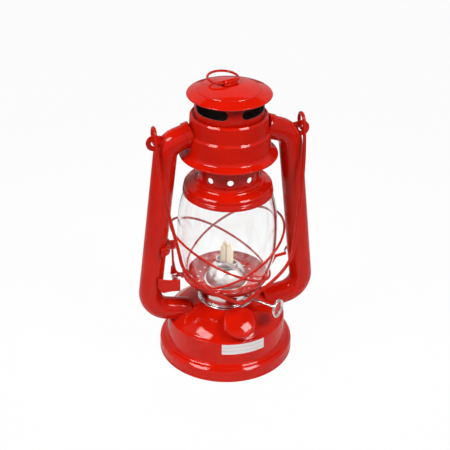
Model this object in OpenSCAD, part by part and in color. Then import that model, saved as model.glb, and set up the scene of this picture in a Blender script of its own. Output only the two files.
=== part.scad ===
// Kerosene hurricane lantern with sliding chimney, globe lift and carrying bail.
// Origin on the lantern's axis at the floor, +Z up, the filler cap to the front (-Y).
// Lengths are in millimetres and angles in degrees.

/* [Tank] */
// Diameter over the flared foot
foot_d = 114; // [108:1:124]
// Height of the flared foot
foot_h = 13; // [11:0.5:16]
// Diameter of the tank wall at its shoulder
tank_d = 99.6; // [94:0.2:104]
// Height of the shoulder above the floor
shoulder_h = 34.7; // [31:0.1:40]
// Rise of the domed top from the shoulder to the burner collar
dome_rise = 15; // [12:0.5:18]
// Sheet thickness of the tank, tubes, crown and hood
sheet = 0.8; // [0.6:0.1:1.0]

/* [Filler] */
// Diameter of the filler cap
filler_d = 26.8; // [24:0.2:29]
// Height of the filler cap
filler_cap_h = 8; // [7:0.5:9]
// Distance of the filler from the lantern's axis, on the dome
filler_reach = 37.4; // [36:0.2:39]
// Forward tilt of the filler from upright
filler_tilt = 37; // [33:1:40]

/* [Burner] */
// Diameter of the burner collar
collar_d = 47; // [45:0.5:50]
// Height of the burner collar
collar_h = 4; // [3:0.5:5]
// Height of the burner body above the collar
burner_h = 13.5; // [12:0.5:16]
// Diameter of the burner cone
cone_d = 35.6; // [33:0.2:37]
// Height of the burner cone
cone_h = 17; // [15:0.5:19]
// Width of the flat wick
wick_w = 12.5; // [10:0.5:14]
// Thickness of the flat wick
wick_t = 2.4; // [2:0.1:3]
// Length of wick that stands out of the cone
wick_show = 20; // [12:1:24]
// Direction of the wick spindle, measured from +X
spindle_angle = -47.8; // [-60:0.2:-40]
// Distance of the wick knob from the lantern's axis
knob_reach = 53; // [50:0.5:56]
// Diameter of the wick knob
knob_d = 16.2; // [14:0.2:18]

/* [Globe] */
// Diameter of the globe plate's rim
plate_d = 70; // [68:0.5:72]
// Depth of the globe plate
plate_h = 5.8; // [5:0.2:7]
// Greatest diameter of the glass
globe_d = 82.8; // [80:0.2:84]
// Height of the glass
globe_h = 88; // [85:0.5:93]
// Thickness of the glass
glass = 2; // [1.6:0.1:2.4]
// Diameter of the guard wire
guard_wire = 2; // [1.6:0.1:2.2]
// Travel of the globe lift
lift_travel = 8; // [6:0.5:8.5]

/* [Hood] */
// Diameter over the rim of the hood bell
bell_d = 73.6; // [72.8:0.2:75]
// Height of the bell from rim to neck
bell_h = 12; // [11:0.5:13]
// Diameter of the chimney tube
neck_d = 52.8; // [51:0.2:54]
// Height of the row of round holes above the bell rim
hole_rise = 20; // [17:0.5:23]
// Diameter of the round holes
hole_d = 5; // [4:0.2:6]
// Number of round holes
hole_count = 10; // [6:1:12]
// Height of the vent slots
slot_h = 8.6; // [7:0.2:10]
// Width of each vent slot as an angle
slot_angle = 67; // [55:1:72]
// Diameter of the hood cap
cap_d = 67.4; // [64:0.2:72]
// Rise of the hood cap from rim to centre
cap_rise = 7.3; // [5:0.1:9]
// Inside diameter of the lift ring
ring_d = 22; // [19:0.5:24]

/* [Crown and tubes] */
// Diameter of the crown at its foot
crown_d = 66.2; // [65:0.2:68]
// Height of the crown's drum above its flange
crown_drum_h = 29.2; // [27:0.2:32]
// Diameter of the crown's flange
flange_d = 79.2; // [77:0.2:82]
// Clear height from the bell rim to the flange rim
crown_gap = 33.9; // [32.5:0.1:37]
// Outside diameter of the air tubes
tube_d = 19.2; // [18:0.2:20]
// Half the width over both tubes
half_width = 75.5; // [74:0.5:80]
// Slope of the tubes where they leave the crown
tube_slope = 19; // [15:1:22]

/* [Bail] */
// Diameter of the bail wire
bail_wire = 2.8; // [2.4:0.1:3]
// Length of the bail from its eyes to the kink
bail_reach = 144; // [138:1:150]
// Forward tilt of the hanging bail
bail_tilt = 15.8; // [14:0.2:20]
// Mean radius of the bail's eyes
eye_r = 6.3; // [6:0.1:7]

/* [Hidden] */
$fn = 96;
arc_steps = 10;
wire_sides = 10;
tube_sides = 40;

// Fits and clearances
touch = 0.05;
seat_gap = 0.3;
run_gap = 0.06;
slide_gap = 0.4;
far = 400;
drill = 8;

// Finishes as the photo shows them
red = [0.80, 0.07, 0.03];
deep_red = [0.62, 0.05, 0.03];
nickel = [0.78, 0.78, 0.80];
clear = [0.85, 0.90, 0.90, 0.35];
cotton = [0.90, 0.85, 0.70];
rubber = [0.12, 0.12, 0.12];
paper = [0.95, 0.95, 0.94];

// Tank
foot_r = foot_d / 2;
tank_r = tank_d / 2;
wall_flare = 0.7;
wall_foot_r = tank_r + wall_flare;
foot_edge_h = 9.5;
shoulder_round = 1.6;
collar_r = collar_d / 2;
seat_h = shoulder_h + dome_rise;
dome_bulge = 2.2;
throat_r = collar_r - 3;
tank_floor_h = foot_h + 4.6;
tank_flange_h = 4;
baffle_h = shoulder_h - 4.2;

// Filler: its axis leans forward from a point on the dome
filler_r = filler_d / 2;
filler_wall = 1;
filler_crown = 1.8;
neck_bore_gap = 0.4;
filler_neck_r = filler_r - filler_wall - neck_bore_gap;
filler_neck_wall = 1.2;
gasket_t = 1.2;
filler_stand = 3;
filler_neck_root = 8;
filler_neck_top = filler_stand + filler_cap_h - filler_crown - gasket_t - 2 * touch;

// Burner
burner_bottom = seat_h + collar_h;
burner_r = collar_r - 0.9;
burner_top = burner_bottom + burner_h;
burner_ledge = 5.8;
burner_floor_h = 0.6;
cone_r = cone_d / 2;
cone_sheet = 0.6;
cone_flange_r = cone_r + 1.2;
cone_base = burner_top + touch;
cone_top = cone_base + cone_h;
cone_slot_w = wick_t + 4.6;
cone_slot_l = wick_w + 6.5;
cone_lip = 1;
wick_gap = 0.5;
wick_tube_wall = 0.8;
wick_tube_bottom = baffle_h - 4;
wick_tube_top = cone_top - 4;
wick_top = cone_top + wick_show;
wick_drop = 22;
wick_bottom = tank_floor_h + sheet + wick_drop + 1;
sprocket_r = 3;
sprocket_t = 1.6;
sprocket_teeth = 10;
tooth_h = 0.7;
spindle_r = 1.1;
spindle_h = burner_bottom + 4.8;
spindle_offset = wick_t / 2 + sprocket_r + seat_gap;
bush_r = 1.9;
bush_reach = burner_r + 3.6;
knob_r = knob_d / 2;
knob_t = 3.2;

// Globe and its carriage
plate_r = plate_d / 2;
plate_bottom = burner_top + seat_gap;
plate_top = plate_bottom + plate_h;
plate_floor_r = plate_r - 3.4;
plate_bore_r = cone_flange_r + 0.5;
air_hole_r = 1.2;
air_hole_count = 20;
globe_bottom = plate_bottom + sheet + seat_gap;
globe_top = globe_bottom + globe_h;
globe_r = globe_d / 2;
globe_foot_r = plate_floor_r - 0.9;
foot_pull = [5.5, 11];
belly_pull = [24, 20];
mouth_pull = [6.6, -9];
mouth_inset = 4.4;
globe_mouth_r = bell_d / 2 - mouth_inset;
guard_r = guard_wire / 2;
guard_rise = 0.57;
guard_low = plate_r + guard_r + touch;
guard_gap = 1;
guard_depth = globe_r + guard_r + guard_gap;
guard_cross = plate_top + guard_rise * guard_low;
guard_steps = 64;

// Hood: its bell stands on the mouth of the glass
bell_r = bell_d / 2;
neck_r = neck_d / 2;
bell_rim = globe_top + sheet + seat_gap - bell_h + 5.7;
bell_skirt = 4.6;
neck_base = bell_rim + bell_h;
hole_h = bell_rim + hole_rise;
flange_rim = bell_rim + crown_gap;
flange_rise = 6.2;
crown_base = flange_rim + flange_rise;
crown_top = crown_base + crown_drum_h;
crown_r = crown_d / 2;
crown_step = 1.3;
crown_step_h = crown_base + 14.4;
crown_round = 2.4;
flange_r = flange_d / 2;
vent_wall = 1.1;
vent_r = neck_r + vent_wall;
vent_lap = 1;
vent_bottom = crown_top - vent_lap;
slot_rise = 4.4;
slot_bottom = crown_top + slot_rise;
slot_head = 4.8;
vent_top = slot_bottom + slot_h + slot_head;
slot_count = 4;
slot_turn = -96;
hole_turn = -101.5;
cap_r = cap_d / 2;
cap_ridge_r = 24.5;
cap_ridge_drop = 4.1;
cap_edge = 1.2;
cap_slope = (cap_rise - cap_ridge_drop) / (cap_r - sheet - cap_ridge_r);
cap_top = vent_top + touch + sheet + cap_ridge_drop + cap_slope * (vent_r - cap_ridge_r);
ring_wire_r = 1;
ring_mean_r = ring_d / 2 + ring_wire_r;
strap_l = 12;
strap_turn = 21;
strap_wall = 0.9;
strap_rise = 1.7;
ring_axis_h = cap_top + strap_rise;
ring_half = 6.7;
ring_bend = 3;
ring_lay = 3;

// Air tubes: a planar run from the crown, round the shoulder, down and into the tank
tube_r = tube_d / 2;
top_bend = 15.5;
foot_bend = 17.5;
port_rise = 13.2;
port_h = crown_base + port_rise;
shoulder_gap = 17.5;
shoulder_reach = crown_r + shoulder_gap;
tank_slope = 11;
tank_port_reach = tank_r - 0.6;
tank_port_rise = 9.9;
tank_port_h = shoulder_h + tank_port_rise;
// Corner points of the run's centre line, in the plane of the tubes
run_top = [crown_r - 3, port_h + 3 * tan(tube_slope)];
run_shoulder = [shoulder_reach, port_h - (shoulder_reach - crown_r) * tan(tube_slope)];
elbow_inset = 7.9;
elbow_reach = half_width - elbow_inset;
run_elbow = [elbow_reach, tank_port_h + (elbow_reach - tank_port_reach) * tan(tank_slope)];
run_end = [tank_r - 16, run_elbow[1] - (elbow_reach - tank_r + 16) * tan(tank_slope)];
tube_run = [run_top, run_shoulder, run_elbow, run_end];
collar_l = 1.6;
collar_wall = 0.9;

// Reach of the tubes' centre line at a height on their long legs
function leg_reach(h) =
    run_shoulder[0]
    + (run_elbow[0] - run_shoulder[0]) * (run_shoulder[1] - h) / (run_shoulder[1] - run_elbow[1]);

// Ears and bail
bail_r = bail_wire / 2;
ear_t = 1.5;
ear_hole_r = 2.6;
ear_r = 6.6;
ear_reach = run_shoulder[0] + 9.6;
ear_h = run_shoulder[1] + 1.9;
bail_axis_h = ear_h + eye_r;
eye_sweep = 300;
eye_steps = 20;
leg_steps = 14;
bail_waist = 47.5;
bail_bend = 100;
bail_leg_pull = 45;
bail_waist_lean = 2.5;
bail_waist_pull = [20, 18];
kink_pull = [28, -13.5];

// Globe lift on the left tube
guide_t = 1;
guide_h = 8;
leg_lean = (run_elbow[0] - run_shoulder[0]) / (run_shoulder[1] - run_elbow[1]);
guide_gap = slide_gap + leg_lean * (lift_travel + guide_h / 2);
guide_rise = 35.3;
guide_bottom = plate_bottom + guide_rise;
// The post stands midway between the glass and the tube, and the hoops reach as far as it
post_x = -(globe_r + leg_reach(guide_bottom) - tube_r) / 2;
guard_high = 0.2 - post_x;
post_w = 1.7;
post_t = 1.4;
post_rise = 5;
post_foot = plate_top + post_rise;
lever_arm = 13.3;
lever_half_turn = asin(lift_travel / 2 / lever_arm);
peg_r = 1.2;
peg_l = 4;
pivot_y = 2;
pivot_h = plate_bottom - seat_gap - peg_r + lift_travel / 2;
peg_y = pivot_y + lever_arm * cos(lever_half_turn);
peg_h = pivot_h - lift_travel / 2;
web_gap = 7.7;
web_x = -plate_r - web_gap;
web_t = 1.4;
web_r = 2.6;
// The thumb tab stands in front of the tube, its heel cut away to clear the tube when pressed
tab_y = -tube_r - 0.3;
tab_lap = 3.6;
tab_left = tab_lap - leg_reach(pivot_h);
tab_low = -2.4;
tab_high = 12.8;
tab_drop = 4.4;
tab_heel = [4.2, 5.4];
lever_pin_r = 1.1;
bracket_t = 1.2;
bracket_x = web_x - web_t - seat_gap;
lug_r = 3;
lug_inset = 0.1;
lug_l = 12;
lug_angle = 180 - atan(peg_y / (plate_r + web_gap - lug_r * 0.7));
right_arm_rise = 10.7;
right_arm_h = plate_top + right_arm_rise;
right_arm_t = 1.2;

// Paper label
label_low = foot_h + 10.6;
label_h = 9.6;
label_from = -109;
label_sweep = 43;
label_t = 0.15;

// Points on an arc of a circle
function arc(cx, cy, r, from, to, steps = arc_steps) =
    oval(cx, cy, r, r, from, to, steps);

// Points on a quarter of an ellipse
function oval(cx, cy, rx, ry, from, to, steps = arc_steps) =
    [for (i = [0:steps]) let (a = from + (to - from) * i / steps) [cx + rx * cos(a), cy + ry * sin(a)]];

// Points of a bowed line from p to q that stands out by bulge at its middle
function bowed(p, q, bulge, steps = arc_steps) =
    let (d = q - p, n = [-d[1], d[0]] / norm(d))
    [for (i = [0:steps]) let (t = i / steps) p + d * t + n * bulge * 4 * t * (1 - t)];

// Point on a cubic curve
function cubic(a, b, c, d, t) =
    a * pow(1 - t, 3) + 3 * b * t * pow(1 - t, 2) + 3 * c * t * t * (1 - t) + d * pow(t, 3);

function unit(v) = v / norm(v);

// Tank wall radius at a height above the foot
function wall_r(h) = wall_foot_r + (tank_r - wall_foot_r) * (h - foot_h) / (shoulder_h - foot_h);

// Outline of the dome from the shoulder to the collar seat, drawn in by inset
function dome_line(inset) = bowed(
    [tank_r - shoulder_round - inset, shoulder_h - inset * 0.6],
    [collar_r - inset, seat_h - inset],
    -dome_bulge
);

// Outline of the tank from the foot's rim to the collar seat, drawn in by inset
function tank_outline(inset) = concat(
    [[foot_r - inset, 0]],
    oval(wall_foot_r - inset, foot_edge_h, foot_r - wall_foot_r, foot_h - foot_edge_h, 0, 90),
    arc(
        tank_r - shoulder_round - inset, shoulder_h - shoulder_round - inset * 0.6,
        shoulder_round, 0, 60, 4
    ),
    dome_line(inset)
);

// Everything inside the tank's outer face, grown by gap
module tank_mass(gap = 0) {
    rotate_extrude()
        polygon(concat([[0, 0]], tank_outline(-gap), [[0, seat_h + gap]]));
}

module filler_place() {
    translate([0, -filler_reach, seat_h - filler_drop()])
        rotate([filler_tilt, 0, 0])
            children();
}

// Depth of the dome under the collar seat at the filler
function filler_drop() =
    let (t = (tank_r - shoulder_round - filler_reach) / (tank_r - shoulder_round - collar_r))
    dome_rise * (1 - t) - dome_bulge * 4 * t * (1 - t) * 0.87;

// A flat bar with round ends, along X
module stadium(length, width) {
    square([length - width, width], center = true);
    for (side = [-1, 1])
        translate([side * (length - width) / 2, 0])
            circle(d = width);
}

// A solid turned from a closed outline of [radius, height] points
module turned(points) {
    rotate_extrude()
        polygon(points);
}

// A ring between two radii
module ring(inner, outer, from, to) {
    rotate_extrude()
        translate([inner, from])
            square([outer - inner, to - from]);
}

// Frame of the wick: X along the spindle, Y across the wick
module wick_frame() {
    rotate([0, 0, spindle_angle])
        children();
}

// Frame of the spindle: Z runs out along its axis to the knob
module spindle_frame() {
    wick_frame()
        translate([0, -spindle_offset, spindle_h])
            rotate([0, 90, 0])
                children();
}

// Direction of each straight stretch of a run, in degrees
function heading(p, q) = atan2(q[1] - p[1], q[0] - p[0]);

// Turn at a corner, between -180 and 180
function corner_turn(p, q, r) =
    let (t = heading(q, r) - heading(p, q))
    t > 180 ? t - 360 : t < -180 ? t + 360 : t;

// One straight rod from p to q in the plane of the run
module straight_rod(p, q, radius) {
    translate([p[0], p[1], 0])
        rotate([0, 0, heading(p, q)])
            rotate([0, 90, 0])
                cylinder(r = radius, h = norm(q - p));
}

// One bend of the run at corner q
module rod_bend(p, q, r, bend, radius) {
    turn = corner_turn(p, q, r);
    side = turn > 0 ? 1 : -1;
    start = q - unit(q - p) * bend * tan(abs(turn) / 2);
    normal = heading(p, q) + side * 90;
    centre = start + bend * [cos(normal), sin(normal)];
    translate([centre[0], centre[1], 0])
        rotate([0, 0, side > 0 ? normal + 180 : normal + 180 + turn])
            rotate_extrude(angle = abs(turn))
                translate([bend, 0])
                    circle(r = radius);
}

// Where a straight stretch starts or ends once its corner is rounded
function cut_back(p, q, r, bend) = bend * tan(abs(corner_turn(p, q, r)) / 2);

// The whole run of an air tube on the +X side, upright in the plane of the tubes
module tube_sweep(radius) {
    a = tube_run[0];
    b = tube_run[1];
    c = tube_run[2];
    d = tube_run[3];
    trim_b = cut_back(a, b, c, top_bend);
    trim_c = cut_back(b, c, d, foot_bend);
    rotate([90, 0, 0]) {
        straight_rod(a, b + unit(a - b) * trim_b, radius);
        rod_bend(a, b, c, top_bend, radius);
        straight_rod(b + unit(c - b) * trim_b, c + unit(b - c) * trim_c, radius);
        rod_bend(b, c, d, foot_bend, radius);
        straight_rod(c + unit(d - c) * trim_c, d, radius);
    }
}

// Only the stretches that pass through the crown's wall and the tank's dome
module tube_ports(radius) {
    rotate([90, 0, 0]) {
        straight_rod(tube_run[0], tube_run[1], radius);
        straight_rod(tube_run[3], tube_run[2], radius);
    }
}

module both_sides() {
    children();
    mirror([1, 0, 0])
        children();
}

// Normals carried along a path so that a swept section doesn't twist
function carried(path, tangents, first) =
    [for (
        i = 0, n = first;
        i < len(path);
        i = i + 1, n = i < len(path) ? unit(n - tangents[i] * (n * tangents[i])) : n
    ) unit(n - tangents[i] * (n * tangents[i]))];

// Tangents along a path that is open or closed
function path_tangents(path, closed) =
    let (last = len(path) - 1)
    [for (i = [0:last])
        unit(
            path[i < last ? i + 1 : closed ? 0 : last]
            - path[i > 0 ? i - 1 : closed ? last : 0]
        )];

// A round wire swept along a path of points
module wire(path, radius, first, closed = false) {
    count = len(path);
    tangents = path_tangents(path, closed);
    normals = carried(path, tangents, first);
    points = [for (i = [0:count - 1], k = [0:wire_sides - 1])
        let (a = 360 * k / wire_sides, side = cross(tangents[i], normals[i]))
        path[i] + radius * (cos(a) * normals[i] + sin(a) * side)];
    spans = closed ? count : count - 1;
    skin = [for (i = [0:spans - 1], k = [0:wire_sides - 1], half = [0, 1])
        let (
            m = (i + 1) % count * wire_sides,
            j = i * wire_sides,
            l = (k + 1) % wire_sides
        )
        half == 0 ? [j + k, m + l, j + l] : [j + k, m + k, m + l]];
    end = (count - 1) * wire_sides;
    ends = closed ? [] : [for (k = [1:wire_sides - 2], tail = [0, 1])
        tail == 0
            ? [0, k, k + 1]
            : [end, end + k + 1, end + k]];
    polyhedron(points, concat(skin, ends));
}

module tank_shell() {
    color(red)
        difference() {
            rotate_extrude()
                polygon(concat(
                    tank_outline(0),
                    [[throat_r, seat_h], [throat_r, seat_h - sheet]],
                    [for (i = [len(tank_outline(sheet)) - 1:-1:0]) tank_outline(sheet)[i]]
                ));
            both_sides()
                tube_ports(tube_r - sheet);
            filler_place()
                cylinder(r = filler_neck_r + touch, h = 40, center = true);
        }
}

module tank_bottom() {
    r = wall_r(tank_floor_h) - sheet - 2 * touch - 0.2;
    color(deep_red) {
        ring(0, r, tank_floor_h, tank_floor_h + sheet);
        ring(r - sheet, r, tank_floor_h, tank_floor_h + tank_flange_h);
    }
}

module tank_baffle() {
    r = wall_r(baffle_h) - sheet - 2 * touch;
    color(deep_red)
        difference() {
            union() {
                ring(0, r, baffle_h - sheet, baffle_h);
                ring(r - sheet, r, baffle_h - tank_flange_h, baffle_h);
            }
            wick_frame()
                linear_extrude(far, center = true)
                    stadium(wick_w + 2 * (wick_gap + wick_tube_wall + touch), tube_flat() + 2 * touch);
            filler_place()
                cylinder(r = filler_neck_r + touch, h = far, center = true);
        }
}

module filler_neck() {
    color(deep_red)
        filler_place()
            ring(filler_neck_r - filler_neck_wall, filler_neck_r, -filler_neck_root, filler_neck_top);
}

module filler_gasket() {
    color(rubber)
        filler_place()
            ring(
                filler_neck_r - filler_neck_wall - 0.2, filler_r - filler_wall - run_gap,
                filler_neck_top + touch, filler_neck_top + touch + gasket_t
            );
}

module filler_cap() {
    top = filler_stand + filler_cap_h;
    inner_r = filler_r - filler_wall;
    edge = 1.4;
    color(red)
        filler_place()
            turned(concat(
                [[0, top - filler_crown], [inner_r, top - filler_crown]],
                [[inner_r, filler_stand], [filler_r, filler_stand]],
                arc(filler_r - edge, top - filler_crown - edge + 0.6, edge, 0, 70, 5),
                bowed([filler_r - edge, top - 1.1], [0, top], -0.5)
            ));
}

module paper_label() {
    low = wall_r(label_low) + touch;
    high = wall_r(label_low + label_h) + touch;
    color(paper)
        rotate([0, 0, label_from])
            rotate_extrude(angle = label_sweep)
                polygon([
                    [low, label_low], [low + label_t, label_low],
                    [high + label_t, label_low + label_h], [high, label_low + label_h]
                ]);
}

module burner_collar() {
    bead = 0.9;
    color(nickel)
        turned(concat(
            [[throat_r, seat_h + touch], [collar_r, seat_h + touch]],
            arc(collar_r - 0.2, seat_h + touch + bead, bead, -60, 90, 6),
            [[collar_r - 0.9, seat_h + 2.2 * bead], [collar_r - 0.5, burner_bottom - touch],
             [throat_r, burner_bottom - touch]]
        ));
}

// Thickness of the flat wick tube
function tube_flat() = wick_t + 2 * (wick_gap + wick_tube_wall);

module burner_body() {
    wheel_half = wick_w / 4 + sprocket_t / 2 + wick_gap;
    well = spindle_offset + sprocket_r + wick_gap;
    color(nickel)
        difference() {
            union() {
                ring(burner_r - sheet, burner_r, burner_bottom, burner_top);
                ring(burner_r - burner_ledge, burner_r, burner_top - sheet, burner_top);
                ring(0, burner_r, burner_bottom, burner_bottom + burner_floor_h);
            }
            wick_frame()
                linear_extrude(far, center = true)
                    stadium(wick_w + 2 * (wick_gap + wick_tube_wall + touch), tube_flat() + 2 * touch);
            wick_frame()
                translate([-wheel_half, -well, burner_bottom - 1])
                    cube([2 * wheel_half, well, burner_floor_h + 2]);
            spindle_frame()
                translate([0, 0, burner_r - drill / 2])
                    cylinder(r = bush_r + touch, h = drill);
        }
}

module burner_cone() {
    dome_z = cone_top - cone_r;
    color(nickel)
        difference() {
            union() {
                intersection() {
                    difference() {
                        translate([0, 0, dome_z])
                            sphere(r = cone_r);
                        translate([0, 0, dome_z])
                            sphere(r = cone_r - cone_sheet);
                    }
                    translate([0, 0, cone_base])
                        cylinder(r = cone_r + 1, h = far);
                }
                ring(cone_r - cone_sheet - 0.4, cone_flange_r, cone_base, cone_base + cone_sheet);
                wick_frame()
                    translate([0, 0, cone_top - 4.5])
                        linear_extrude(4.5 + cone_lip)
                            stadium(cone_slot_l + 2 * cone_sheet, cone_slot_w + 2 * cone_sheet);
            }
            wick_frame()
                linear_extrude(far)
                    stadium(cone_slot_l, cone_slot_w);
        }
}

module wick_tube() {
    inner_w = wick_w + 2 * wick_gap;
    color(nickel)
        wick_frame()
            difference() {
                translate([0, 0, wick_tube_bottom])
                    linear_extrude(wick_tube_top - wick_tube_bottom)
                        difference() {
                            stadium(inner_w + 2 * wick_tube_wall, tube_flat());
                            stadium(inner_w, tube_flat() - 2 * wick_tube_wall);
                        }
                translate([-inner_w / 2, -tube_flat(), spindle_h - sprocket_r - tooth_h - 1])
                    cube([inner_w, tube_flat(), 2 * (sprocket_r + tooth_h + 1)]);
            }
}

module wick() {
    color(cotton)
        wick_frame()
            translate([0, 0, wick_bottom])
                linear_extrude(wick_top - wick_bottom)
                    stadium(wick_w, wick_t);
}

module spindle_bush() {
    from = burner_r - 3;
    color(nickel)
        spindle_frame()
            ring(spindle_r + run_gap, bush_r, from, bush_reach);
}

module wick_spindle() {
    color(nickel)
        spindle_frame()
            translate([0, 0, -wick_w / 2])
                cylinder(r = spindle_r, h = knob_reach - knob_t / 2 + wick_w / 2 + 1);
}

// One toothed wheel on the spindle
module sprocket() {
    root = sprocket_r - tooth_h;
    linear_extrude(sprocket_t, center = true)
        difference() {
            polygon([for (i = [0:2 * sprocket_teeth - 1])
                let (a = 180 * i / sprocket_teeth, r = i % 2 == 0 ? sprocket_r : root)
                [r * cos(a), r * sin(a)]]);
            circle(r = spindle_r + touch);
        }
}

module wick_sprockets() {
    color(nickel)
        spindle_frame()
            for (side = [-1, 1])
                translate([0, 0, side * wick_w / 4])
                    sprocket();
}

module wick_knob() {
    face = knob_reach + knob_t / 2;
    back = knob_reach - knob_t / 2;
    rim = 1.3;
    color(nickel)
        spindle_frame()
            difference() {
                turned(concat(
                    [[0, back], [3, back], [4, back + 0.9], [knob_r - 1, back + 0.6]],
                    arc(knob_r - rim, face - rim, rim, -50, 120, 8),
                    [[knob_r - 2.6, face - 1.7], [0, face - 1.7]]
                ));
                translate([0, 0, back - 1])
                    cylinder(r = spindle_r + touch, h = 2 + touch);
            }
}

module globe_plate() {
    color(red)
        difference() {
            union() {
                turned([
                    [plate_bore_r, plate_bottom], [plate_floor_r, plate_bottom],
                    [plate_r, plate_top - 1.2], [plate_r, plate_top],
                    [plate_r - sheet, plate_top], [plate_r - sheet, plate_top - 1],
                    [plate_floor_r - sheet * 0.6, plate_bottom + sheet],
                    [plate_bore_r, plate_bottom + sheet]
                ]);
                rotate([0, 0, lug_angle])
                    translate([plate_floor_r - 1, -lug_r, plate_bottom + lug_inset])
                        cube([lug_l, 2 * lug_r, sheet - 2 * lug_inset]);
            }
            for (i = [0:air_hole_count - 1])
                rotate([0, 0, 360 * i / air_hole_count])
                    translate([(plate_bore_r + globe_foot_r - glass) / 2, 0, plate_bottom - 1])
                        cylinder(r = air_hole_r, h = sheet + 2);
        }
}

// Outside of the glass as [radius, height] from its foot to its mouth
function globe_outline(inset) =
    let (
        foot = [globe_foot_r - inset, globe_bottom],
        mouth = [globe_mouth_r - inset, globe_top],
        belly = globe_r - inset,
        mid = globe_bottom + globe_h * 0.49
    )
    concat(
        [for (i = [0:arc_steps])
            cubic(foot, foot + foot_pull, [belly, mid - belly_pull[0]], [belly, mid], i / arc_steps)],
        [for (i = [1:arc_steps])
            cubic([belly, mid], [belly, mid + belly_pull[1]], mouth + mouth_pull, mouth, i / arc_steps)]
    );

module globe() {
    inner = globe_outline(glass);
    color(clear)
        turned(concat(globe_outline(0), [for (i = [len(inner) - 1:-1:0]) inner[i]]));
}

// A guard hoop: low at the plate's rim on one side, high beside the tube on the other
module guard_hoop(side, depth) {
    middle = (guard_high - guard_low) / 2;
    reach = (guard_high + guard_low) / 2;
    path = [for (i = [0:guard_steps - 1])
        let (a = 360 * i / guard_steps, x = middle + reach * cos(a))
        [side * x, depth * sin(a), guard_cross + guard_rise * x]];
    wire(path, guard_r, [0, 0, 1], true);
}

module guard_hoop_left() {
    color(red)
        guard_hoop(-1, guard_depth);
}

module guard_hoop_right() {
    color(red)
        guard_hoop(1, guard_depth + guard_wire + 0.2);
}

// A band round part of a tube's leg, between two angles
module leg_band(height, from, sweep) {
    inner = tube_r + guide_gap;
    rotate([0, 0, from])
        rotate_extrude(angle = sweep)
            translate([inner, 0])
                square([guide_t, height]);
}

module left_guide() {
    reach = -leg_reach(guide_bottom + guide_h / 2);
    inner = reach + tube_r + guide_gap + guide_t / 2;
    color(red)
        translate([0, 0, guide_bottom]) {
            translate([reach, 0, 0])
                leg_band(guide_h, -78, 156);
            translate([inner, -post_t / 2, 0])
                cube([post_x + 1.5 * post_w - inner, post_t, guide_h]);
        }
}

module lift_post() {
    w = post_w;
    foot = post_foot;
    head = guide_bottom - touch;
    link = guard_low + guard_r + touch;
    color(deep_red)
        rotate([90, 0, 0])
            linear_extrude(post_t, center = true)
                polygon([
                    [post_x - 0.5 * w, head], [post_x + 0.5 * w, head],
                    [post_x + 0.7 * w, foot + 8.2 * w], [post_x + 1.3 * w, foot + 4.2 * w],
                    [post_x + 1.8 * w, foot + 1.9 * w],
                    [-link - 0.6 * w, plate_top + 0.8 * w], [-link, plate_top - 0.1 * w],
                    [-link - 1.2 * w, plate_top + 0.1 * w],
                    [post_x + 1.9 * w, foot + 0.4 * w], [post_x + 1.9 * w, foot],
                    [post_x - 1.1 * w, foot], [post_x - 0.8 * w, foot + 4.2 * w],
                    [post_x - 0.25 * w, foot + 4.8 * w]
                ]);
}

module right_guide() {
    reach = leg_reach(right_arm_h);
    w = post_w;
    inner = reach - tube_r - guide_gap - guide_t / 2;
    link = guard_low + guard_r + touch;
    color(deep_red) {
        rotate([90, 0, 0])
            linear_extrude(post_t, center = true)
                polygon([
                    [link, plate_top - 0.1 * w], [link + 1.2 * w, plate_top],
                    [link + 3.9 * w, right_arm_h - 1.5 * w],
                    [inner, right_arm_h - right_arm_t], [inner, right_arm_h + right_arm_t],
                    [link + 2.9 * w, right_arm_h - 0.35 * w], [link + 0.35 * w, plate_top + 0.9 * w]
                ]);
        translate([reach, 0, right_arm_h - right_arm_t])
            leg_band(2 * right_arm_t, 120, 64);
    }
}

module lever_bracket() {
    inner = -leg_reach(pivot_h) + tube_r;
    color(red)
        difference() {
            union() {
                translate([inner - 3, pivot_y - 2.4, pivot_h - 4.4])
                    cube([bracket_x - inner + 3, 4.8, bracket_t]);
                translate([bracket_x - bracket_t, pivot_y - 2.4, pivot_h - 4.4])
                    cube([bracket_t, 4.8, 7.2]);
            }
            translate([0, pivot_y, pivot_h])
                rotate([0, 90, 0])
                    cylinder(r = lever_pin_r + touch, h = far, center = true);
            mirror([1, 0, 0])
                rotate([90, 0, 0])
                    straight_rod(run_shoulder, run_elbow, tube_r + touch);
        }
}

module lever_pin() {
    head_t = 0.9;
    from = bracket_x - bracket_t - touch;
    to = web_x + seat_gap;
    color(nickel)
        translate([from, pivot_y, pivot_h])
            rotate([0, 90, 0]) {
                cylinder(r = lever_pin_r, h = to - from);
                translate([0, 0, -head_t])
                    cylinder(r = lever_pin_r + 1, h = head_t);
                translate([0, 0, to - from])
                    cylinder(r = lever_pin_r + 1, h = head_t);
            }
}

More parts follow.
